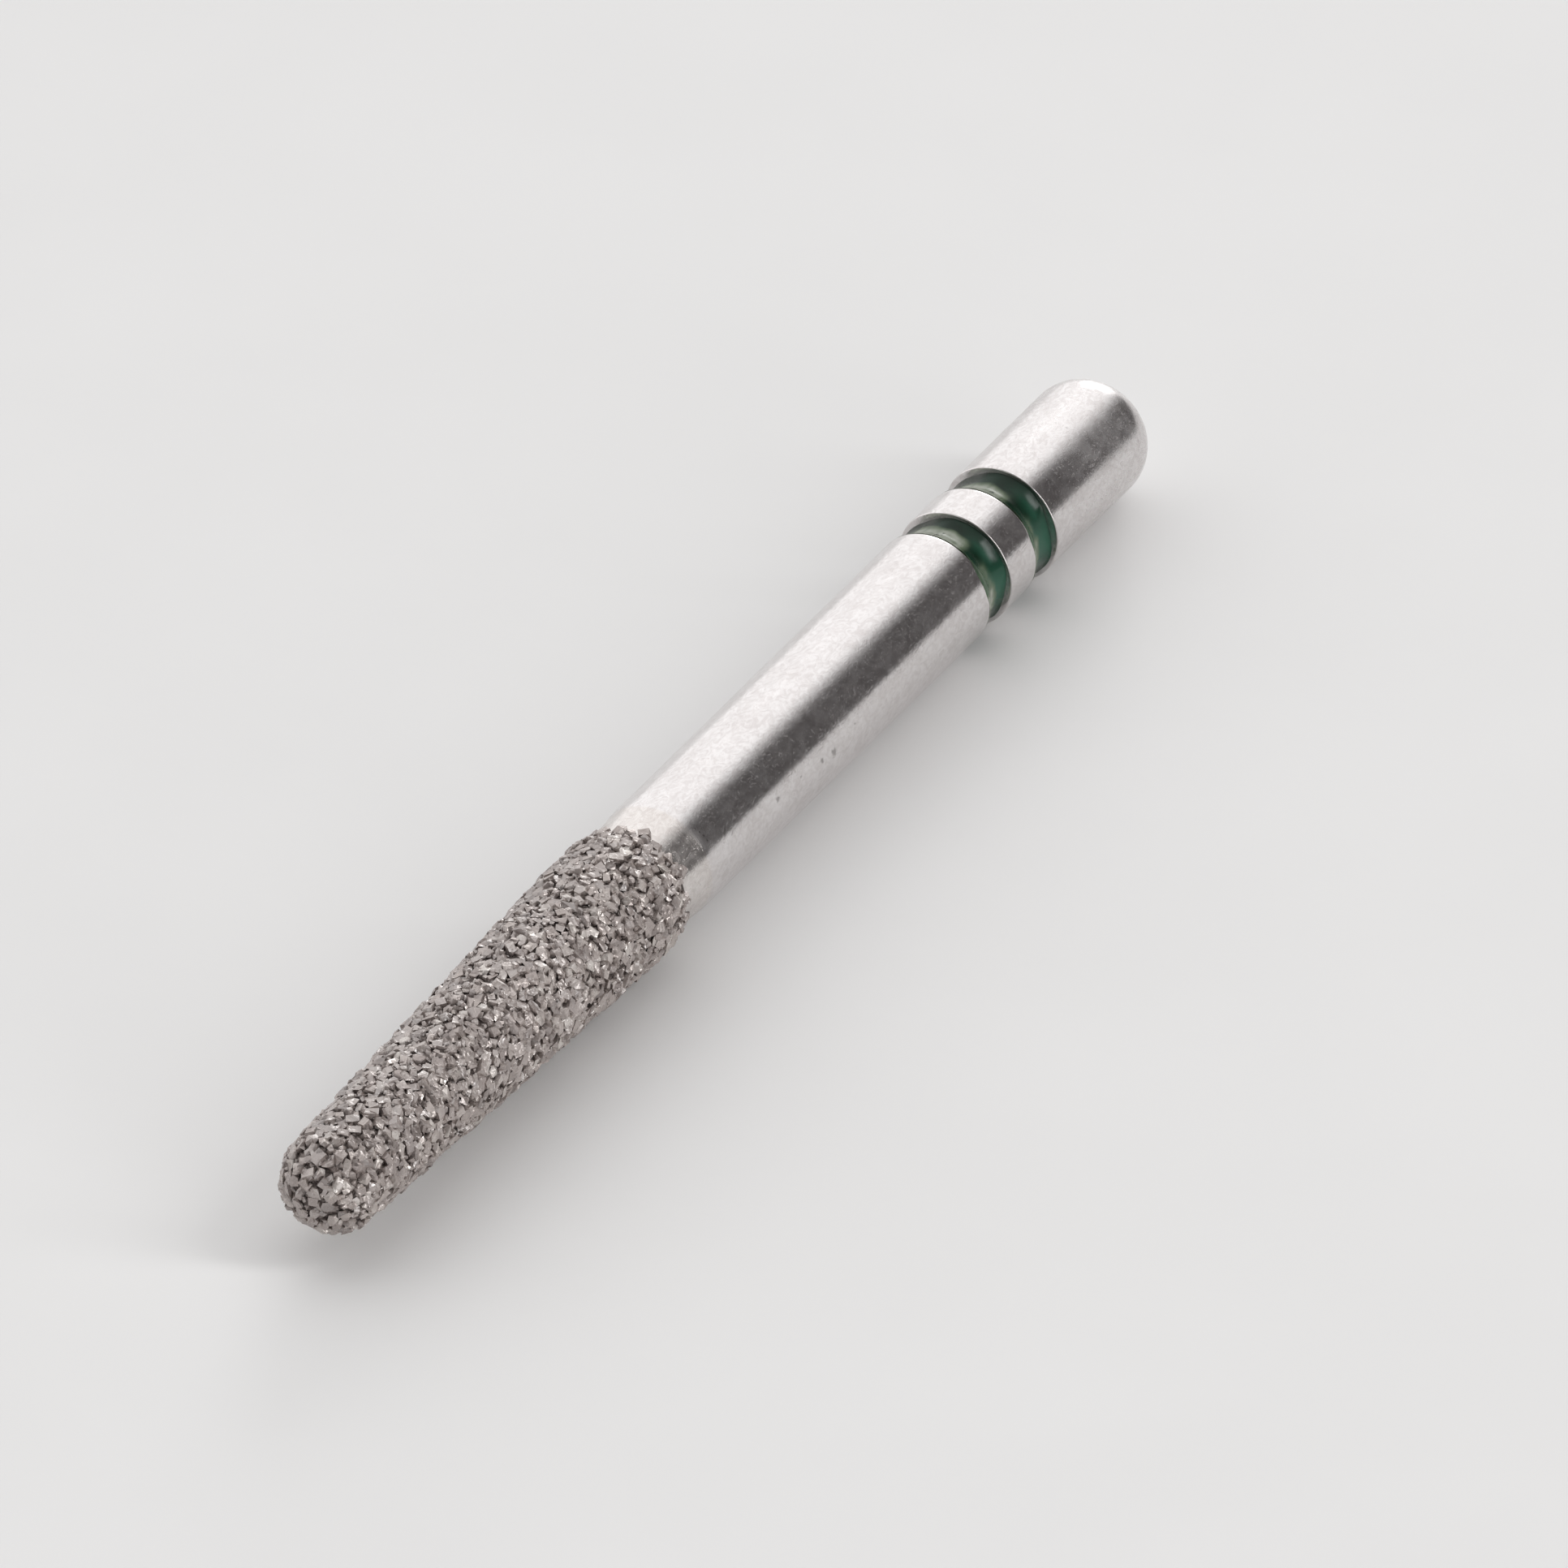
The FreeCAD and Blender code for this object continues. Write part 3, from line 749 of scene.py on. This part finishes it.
# Nickel: plating over the core, lumpy on its outside where it was built up round the grains
platingSizes = {
    "lump": 0.020,
    "lumpsPerMillimetre": 7.0,
    "edge": 0.004,  # height above the neck where it ends, without the lumps
    "coreGap": 0.001,
    "segments": 176,
    "outerSteps": {"runOut": 12, "cone": 200, "ball": 24},
    "innerSteps": {"cone": 3, "ball": 8},
    "sharpDegrees": 60,
}


# The outline with each point pushed outwards by its own lump
def lumpyOutside(turn, outer, sizes):
    points = []
    for x, radius in outer:
        spot = Vector((x, radius * math.cos(turn), radius * math.sin(turn))) * sizes["lumpsPerMillimetre"]
        lump = sizes["lump"] * (noise.noise(spot) * 0.5 + 0.5)
        outwardX = max(0.0, x - ballCentre)
        length = math.hypot(outwardX, radius)
        points.append((x + lump * outwardX / length, radius + lump * radius / length))
    return points


def addPlating(material):
    sizes = platingSizes
    gap, outerSteps, innerSteps = sizes["coreGap"], sizes["outerSteps"], sizes["innerSteps"]
    edge = (headStart, headSizes["neckRadius"] + sizes["edge"])
    outer = straight(edge, (fullStart, bondRadius), outerSteps["runOut"])[:-1]
    outer += headOutline(bondRadius, bondTip - ballCentre, outerSteps["cone"], outerSteps["ball"])
    inner = [(headStart, headSizes["neckRadius"] + gap)]
    innerBall = coreTip - ballCentre + gap
    inner += headOutline(coreRadius + gap, innerBall, innerSteps["cone"], innerSteps["ball"])
    inner.reverse()

    def sectionAt(turn):
        return lumpyOutside(turn, outer, sizes) + inner

    mesh = turnMesh("nickelPlating", sectionAt, sizes["segments"], True)
    return addPiece("nickelPlating", mesh, material, "nickel_bond", sizes["sharpDegrees"])


# Diamond grit: Geometry Nodes scatter two sizes of crystal over the nickel, bend each out of shape on its
# own, and level the tallest, so that the head keeps its size
gritSizes = {
    "coarse": {"spacing": 0.130, "width": 0.182, "lift": 0.024, "seedStep": 0},
    "fine": {"spacing": 0.080, "width": 0.108, "lift": 0.016, "seedStep": 7},
    "settle": 0.012,  # how much higher or lower a crystal sits
    "stretch": (0.62, 1.36),  # range of its length, width and height
    "distortion": 0.060,  # full range of the push on its corners
    "bendsPerMillimetre": 16.0,
    "topHeight": 0.090,  # limits of the height above the nickel
    "lowHeight": 0.050,
    "heapsPerMillimetre": 3.4,
    "heapRange": (0.38, 0.60),
    "noiseDetail": 1.0,
    "strayLength": 0.16,
    "edgeReach": 0.10,  # how far on to the neck the grit goes
    "edgeFade": 0.16,
    "edgeRaggedness": 0.11,
    "edgePerMillimetre": 3.2,
    "pointsPerSquareMetre": 4e8,
    "seed": 18,
    "seeds": {"settle": 31, "stretch": 5, "turn": 9, "shape": 13, "tone": 21},
    "carrierSteps": {"stray": 6, "runOut": 10, "cone": 120, "ball": 20, "segments": 128},
    # Four kinds of crystal about one unit across, in units of a crystal's width
    "crystals": {
        "kinds": 4,
        "ballRadius": 0.5,
        "ballSubdivisions": 1,
        "block": (0.74, 0.62, 0.80),
        "prismSides": 6,
        "prismRadius": 0.46,
        "prismDepth": 0.66,
        "spireSides": 5,
        "spireTop": 0.22,
        "spireFoot": 0.50,
        "spireDepth": 0.72,
    },
}


def randomValue(tree, dataType, low, high, seed):
    firstInput, output = {"FLOAT_VECTOR": (0, 0), "FLOAT": (2, 1), "INT": (4, 2)}[dataType]
    inputs = {firstInput: low, firstInput + 1: high, "Seed": seed}
    return addNode(tree, "FunctionNodeRandomValue", inputs, data_type=dataType).outputs[output]


# One layer of crystals: each of any kind, sunk, stretched and turned at random
def scatterLayer(tree, given, label, crystals, sizes):
    layer, seeds = sizes[label.lower()], sizes["seeds"]
    cover = addNode(tree, "GeometryNodeInputNamedAttribute", {"Name": "cover"}, data_type="FLOAT")
    points = addNode(tree, "GeometryNodeDistributePointsOnFaces", {
        "Mesh": given["Carrier"],
        "Distance Min": given[label + " Spacing"],
        "Density Max": sizes["pointsPerSquareMetre"],
        "Density Factor": cover.outputs[0],
        "Seed": maths(tree, "ADD", given["Seed"], layer["seedStep"]),
    }, distribute_method="POISSON")
    settle = randomValue(tree, "FLOAT", -sizes["settle"] * mm, sizes["settle"] * mm, seeds["settle"])
    lift = maths(tree, "ADD", settle, layer["lift"] * mm)
    raised = addNode(tree, "GeometryNodeSetPosition", {
        "Geometry": points.outputs["Points"], "Offset": scaled(tree, points.outputs["Normal"], lift),
    })
    low, high = ((length,) * 3 for length in sizes["stretch"])
    stretch = randomValue(tree, "FLOAT_VECTOR", low, high, seeds["stretch"])
    turn = randomValue(tree, "FLOAT_VECTOR", (0, 0, 0), (math.tau,) * 3, seeds["turn"])
    instances = addNode(tree, "GeometryNodeInstanceOnPoints", {
        "Points": raised.outputs["Geometry"],
        "Instance": crystals,
        "Pick Instance": True,
        "Instance Index": randomValue(tree, "INT", 0, sizes["crystals"]["kinds"] - 1, seeds["shape"]),
        "Rotation": addNode(tree, "FunctionNodeEulerToRotation", {0: turn}).outputs[0],
        "Scale": scaled(tree, stretch, given[label + " Width"]),
    })
    return instances.outputs["Instances"]


def crystalShapes(tree, sizes):
    depth = sizes["spireDepth"]
    ball = addNode(tree, "GeometryNodeMeshIcoSphere", {
        "Radius": sizes["ballRadius"], "Subdivisions": sizes["ballSubdivisions"],
    })
    block = addNode(tree, "GeometryNodeMeshCube", {"Size": sizes["block"]})
    prism = addNode(tree, "GeometryNodeMeshCylinder", {
        "Vertices": sizes["prismSides"], "Radius": sizes["prismRadius"], "Depth": sizes["prismDepth"],
    })
    spire = addNode(tree, "GeometryNodeMeshCone", {
        "Vertices": sizes["spireSides"],
        "Radius Top": sizes["spireTop"],
        "Radius Bottom": sizes["spireFoot"],
        "Depth": depth,
    })
    centred = addNode(tree, "GeometryNodeTransform", {
        "Geometry": spire.outputs["Mesh"], "Translation": (0, 0, -depth / 2),
    })
    joined = addNode(tree, "GeometryNodeJoinGeometry")
    for shape in (ball.outputs["Mesh"], block.outputs["Mesh"], prism.outputs["Mesh"], centred.outputs[0]):
        wrapped = addNode(tree, "GeometryNodeGeometryToInstance", {0: shape})
        tree.links.new(wrapped.outputs[0], joined.inputs[0])
    return joined.outputs[0]


# Pushes every corner of the crystals a little way of its own
def bendCrystals(tree, given, solid, place, sizes):
    wander = addNode(tree, "ShaderNodeTexNoise", {
        "Vector": place, "Scale": sizes["bendsPerMillimetre"], "Detail": sizes["noiseDetail"],
    })
    push = vectorMaths(tree, "SUBTRACT", wander.outputs["Color"], (0.5, 0.5, 0.5))
    inputs = {"Geometry": solid, "Offset": scaled(tree, push, given["Distortion"])}
    return addNode(tree, "GeometryNodeSetPosition", inputs).outputs["Geometry"]


# Brings corners that stand too high down to a height that varies in heaps, and stores how high each stands
def levelCrystals(tree, given, bent, position, place, sizes):
    nearest = addNode(tree, "GeometryNodeProximity", {0: given["Carrier"]}, target_element="FACES")
    apart = vectorMaths(tree, "SUBTRACT", position, nearest.outputs["Position"])
    heaps = addNode(tree, "ShaderNodeTexNoise", {
        "Vector": place, "Scale": sizes["heapsPerMillimetre"], "Detail": sizes["noiseDetail"],
    })
    lowest, highest = given["Low Height"], given["Top Height"]
    height = remap(tree, heaps.outputs["Fac"], *sizes["heapRange"], lowest, highest)
    keep = maths(tree, "MINIMUM", maths(tree, "DIVIDE", height, nearest.outputs["Distance"]), 1.0)
    levelled = addNode(tree, "GeometryNodeSetPosition", {
        "Geometry": bent,
        "Position": vectorMaths(tree, "ADD", nearest.outputs["Position"], scaled(tree, apart, keep)),
    })
    return addNode(tree, "GeometryNodeStoreNamedAttribute", {
        "Geometry": levelled.outputs["Geometry"],
        "Name": "rise",
        "Value": maths(tree, "DIVIDE", nearest.outputs["Distance"], highest),
    }, data_type="FLOAT", domain="POINT").outputs["Geometry"]


def makeGritTree(sizes):
    lengths = ("Coarse Spacing", "Coarse Width", "Fine Spacing", "Fine Width", "Distortion", "Top Height",
               "Low Height")
    inputs = {"Carrier": ("NodeSocketGeometry", None)}
    inputs.update({label: ("NodeSocketFloat", 0.0) for label in lengths})
    inputs.update({"Seed": ("NodeSocketInt", 0), "Material": ("NodeSocketMaterial", None)})
    outputs = {"Grit": ("NodeSocketGeometry", None)}
    tree, given, wanted = newGroup("diamondGrit", "GeometryNodeTree", inputs, outputs)
    crystals = crystalShapes(tree, sizes["crystals"])
    both = addNode(tree, "GeometryNodeJoinGeometry")
    for label in ("Coarse", "Fine"):
        tree.links.new(scatterLayer(tree, given, label, crystals, sizes), both.inputs[0])
    toned = addNode(tree, "GeometryNodeStoreNamedAttribute", {
        "Geometry": both.outputs[0],
        "Name": "grainTone",
        "Value": randomValue(tree, "FLOAT", 0.0, 1.0, sizes["seeds"]["tone"]),
    }, data_type="FLOAT", domain="INSTANCE")
    solid = addNode(tree, "GeometryNodeRealizeInstances", {"Geometry": toned.outputs["Geometry"]})
    position = addNode(tree, "GeometryNodeInputPosition").outputs[0]
    place = vectorMaths(tree, "MULTIPLY", position, (1 / mm, 1 / mm, 1 / mm))
    bent = bendCrystals(tree, given, solid.outputs["Geometry"], place, sizes)
    risen = levelCrystals(tree, given, bent, position, place, sizes)
    flat = addNode(tree, "GeometryNodeSetShadeSmooth", {0: risen, "Shade Smooth": False})
    dressed = addNode(tree, "GeometryNodeSetMaterial", {
        "Geometry": flat.outputs[0], "Material": given["Material"],
    })
    tree.links.new(dressed.outputs["Geometry"], wanted["Grit"])
    return tree


# The surface that the grains stand on: the nickel without its lumps, and a short stretch of neck for strays
def makeCarrier(sizes):
    stray, steps, neckRadius = sizes["strayLength"], sizes["carrierSteps"], headSizes["neckRadius"]
    neckSlope = (shankRadius - neckRadius) / headSizes["neckLength"]
    back = (headStart - stray, neckRadius + neckSlope * stray)
    outline = [(back[0], 0)]
    outline += straight(back, (headStart, neckRadius), steps["stray"])[:-1]
    outline += straight((headStart, neckRadius), (fullStart, bondRadius), steps["runOut"])[:-1]
    outline += headOutline(bondRadius, bondTip - ballCentre, steps["cone"], steps["ball"])
    mesh = turnMesh("gritCarrier", lambda turn: outline, steps["segments"])
    cover = []
    for vertex in mesh.vertices:
        x = vertex.co.x / mm
        ragged = sizes["edgeRaggedness"] * noise.noise(vertex.co / mm * sizes["edgePerMillimetre"])
        share = max(0.0, min(1.0, (x - headStart + sizes["edgeReach"] + ragged) / sizes["edgeFade"]))
        onBack = vertex.co.yz.length / mm < onAxis and x < headStart  # the pole that closes the neck's end
        cover.append(0.0 if onBack else share)
    addFloats(mesh, "cover", cover)
    return mesh


def addGrit(material):
    sizes = gritSizes
    carrier = bpy.data.objects.new("gritCarrier", makeCarrier(sizes))
    scene.collection.objects.link(carrier)
    tree = makeGritTree(sizes)
    modifier = carrier.modifiers.new("grit", "NODES")
    modifier.node_group = tree
    values = {
        "Coarse Spacing": sizes["coarse"]["spacing"] * mm,
        "Coarse Width": sizes["coarse"]["width"] * mm,
        "Fine Spacing": sizes["fine"]["spacing"] * mm,
        "Fine Width": sizes["fine"]["width"] * mm,
        "Distortion": sizes["distortion"] * mm,
        "Top Height": sizes["topHeight"] * mm,
        "Low Height": sizes["lowHeight"] * mm,
        "Seed": sizes["seed"],
        "Material": material,
    }
    for socket in tree.interface.items_tree:
        if socket.name in values:
            modifier[socket.identifier] = values[socket.name]
    depsgraph = bpy.context.evaluated_depsgraph_get()
    scattered = bpy.data.meshes.new_from_object(carrier.evaluated_get(depsgraph), depsgraph=depsgraph)
    bpy.data.objects.remove(carrier)
    return addPiece("diamondGrains", scattered, material, "diamond_grit")


# Floor: a pale table top that both the head and the butt end of the shank lie on, clear from below
floorLook = {
    "halfWidth": 300.0,
    "colour": (0.80, 0.795, 0.79),
    "darker": 0.985,
    "roughness": 0.6,
    "mottle": {"perMillimetre": (0.25, 0.25, 0.25), "low": 0.3, "high": 0.7, "detail": 3.0},
}


def makeFloorMaterial(look):
    material, tree, shader = newMaterial("paleTable", Roughness=look["roughness"])
    tint = tuple(channel * look["darker"] for channel in look["colour"])
    colour = mixColour(tree, cloudOf(tree, **look["mottle"]), (*look["colour"], 1), (*tint, 1))
    tree.links.new(colour, shader.inputs["Base Color"])
    output = tree.nodes["Material Output"]
    underside = addNode(tree, "ShaderNodeNewGeometry").outputs["Backfacing"]
    clear = addNode(tree, "ShaderNodeBsdfTransparent").outputs[0]
    either = addNode(tree, "ShaderNodeMixShader", {0: underside, 1: shader.outputs[0], 2: clear})
    tree.links.new(either.outputs[0], output.inputs["Surface"])
    return material


def addFloor(look):
    buttContact = blankSizes["buttRounding"]
    slope = -(headRadius - shankRadius) / (fullStart - buttContact)
    half = look["halfWidth"]
    corners = []
    for x, y in ((-half, -half), (half, -half), (half, half), (-half, half)):
        height = -shankRadius + slope * (x - buttContact)
        corners.append((x * mm, y * mm, height * mm))
    mesh = bpy.data.meshes.new("paleTable")
    mesh.from_pydata(corners, [], [(0, 1, 2, 3)])
    mesh.materials.append(makeFloorMaterial(look))
    floor = bpy.data.objects.new("paleTable", mesh)
    scene.collection.objects.link(floor)


# Studio: a pale dome with three dimmer places, and three soft lamps. Directions are (azimuth, elevation) in
# degrees, azimuth from +X towards +Y. The distance of the lamps is in metres.
studio = {
    "dome": (1.24, 1.235, 1.235),
    "dim": (0.092, 0.087, 0.087),
    "background": (0.80, 0.80, 0.80),
    "dimPlaces": [
        {"at": (130, 8), "inner": 30, "outer": 57, "strength": 1.0},
        {"at": (160, 0), "inner": 17, "outer": 30, "strength": 0.9},
        {"at": (20, 46), "inner": 25, "outer": 58, "strength": 0.97},
    ],
    "lamps": [
        {"name": "keyLamp", "at": (199, 15), "width": 20, "height": 20, "radiance": 3.4},
        {"name": "sideLamp", "at": (111, 36), "width": 11, "height": 38, "radiance": 8.2},
        {"name": "fillLamp", "at": (74, 6), "width": 26, "height": 20, "radiance": 4.4},
    ],
    "lampDistance": 3.0,
}


def directionOf(azimuth, elevation):
    turn, rise = math.radians(azimuth), math.radians(elevation)
    return Vector((math.cos(rise) * math.cos(turn), math.cos(rise) * math.sin(turn), math.sin(rise)))


def makeWorld(look):
    world = bpy.data.worlds.new("studioDome")
    world.use_nodes = True
    tree = world.node_tree
    direction = addNode(tree, "ShaderNodeTexCoord").outputs["Generated"]
    colour = (*look["dome"], 1)
    for place in look["dimPlaces"]:
        towards = vectorMaths(tree, "DOT_PRODUCT", direction, tuple(directionOf(*place["at"])), "Value")
        inner, outer = (math.cos(math.radians(place[key])) for key in ("inner", "outer"))
        share = remap(tree, towards, outer, inner, 0.0, place["strength"])
        colour = mixColour(tree, share, colour, (*look["dim"], 1))
    seen = addNode(tree, "ShaderNodeLightPath").outputs["Is Camera Ray"]
    colour = mixColour(tree, seen, colour, (*look["background"], 1))
    tree.links.new(colour, tree.nodes["Background"].inputs["Color"])
    scene.world = world


def addLamps(look):
    distance = look["lampDistance"]
    for lamp in look["lamps"]:
        halves = (math.radians(lamp[key] / 2) for key in ("width", "height"))
        width, height = (2 * distance * math.tan(half) for half in halves)
        light = bpy.data.lights.new(lamp["name"], "AREA")
        light.shape = "RECTANGLE"
        light.size = width
        light.size_y = height
        light.energy = lamp["radiance"] * math.pi * width * height
        made = bpy.data.objects.new(lamp["name"], light)
        aim = directionOf(*lamp["at"])
        made.location = aim * distance
        made.rotation_euler = aim.to_track_quat("Z", "Y").to_euler()
        made.visible_camera = False
        scene.collection.objects.link(made)


# Camera: the picture's angle, nearly without perspective
cameraView = {
    "azimuth": 29.7,
    "elevation": 34.1,
    "lens": 1500.0,
    "sensorWidth": 36.0,
    "frameWidth": 19.167,
    "aimAlong": 9.738,
    "aimRight": 0.810,
    "aimUp": 0.222,
}


def addCamera(view):
    data = bpy.data.cameras.new("pictureCamera")
    data.lens = view["lens"]
    data.sensor_width = view["sensorWidth"]
    distance = view["lens"] / view["sensorWidth"] * view["frameWidth"]
    back = directionOf(view["azimuth"], view["elevation"])
    turn = back.to_track_quat("Z", "Y")
    right, up = turn @ Vector((1, 0, 0)), turn @ Vector((0, 1, 0))
    target = Vector((view["aimAlong"], 0, 0)) + right * view["aimRight"] + up * view["aimUp"]
    camera = bpy.data.objects.new("pictureCamera", data)
    camera.rotation_euler = turn.to_euler()
    camera.location = (target + back * distance) * mm
    scene.collection.objects.link(camera)
    scene.camera = camera


addCamera(cameraView)
makeWorld(studio)
addLamps(studio)
addFloor(floorLook)
print("studio, floor and camera placed")

lacquer = makeLacquer(lacquerLook)
addBlank(makeSteel(steelLook))
for ringName in ringSizes:
    addRing(ringName, lacquer)
print("steel blank and two lacquer rings made")

addPlating(makeNickel(nickelLook))
grains = addGrit(makeDiamond(diamondLook))
print("nickel and %d faces of diamond made" % len(grains.data.polygons))
